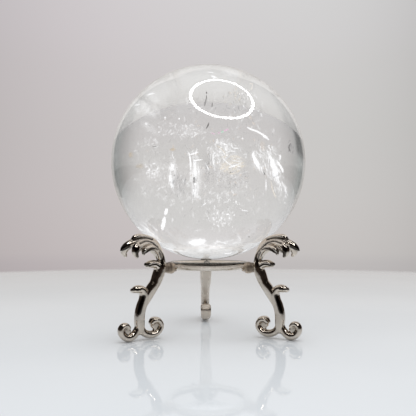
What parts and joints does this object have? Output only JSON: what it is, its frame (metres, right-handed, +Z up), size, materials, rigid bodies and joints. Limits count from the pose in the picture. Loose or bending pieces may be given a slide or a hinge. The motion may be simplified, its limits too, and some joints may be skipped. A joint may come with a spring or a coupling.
{
  "type": "crystal ball on tripod stand",
  "caption": "Clear crystal ball resting loose on a plated metal tripod stand with a round wire ring, leaf-topped cast legs and scrolled feet.",
  "frame": {"origin": "on the stand's vertical axis, in the plane the three feet rest on", "axes": "+Z up through the centre of the ring and the ball; +Y along the back leg; +X to the right seen from the front, between the back and right legs"},
  "size_m": [0.08, 0.08, 0.1092],
  "materials": {
    "clear_quartz": "polished, clear with natural flakes and veils",
    "plated_ring": "bright polished plating",
    "plated_casting": "bright plating over a cast surface",
    "plated_collar": "bright plating, slightly softer than the ring",
    "screw_steel": "turned steel"
  },
  "bodies": {
    "stand": {"support_ring": "plated_ring", "leg_left": "plated_casting", "leg_right": "plated_casting", "leg_back": "plated_casting", "collar_left": "plated_collar", "collar_right": "plated_collar", "collar_back": "plated_collar", "screw_left": "screw_steel", "screw_right": "screw_steel", "screw_back": "screw_steel"},
    "ball": {"crystal_ball": "clear_quartz"}
  },
  "joints": [
    {"name": "ball_lift", "type": "slide", "parent": "stand", "child": "ball", "axis": [0, 0, 1], "range_m": [0, 0.06]}
  ]
}
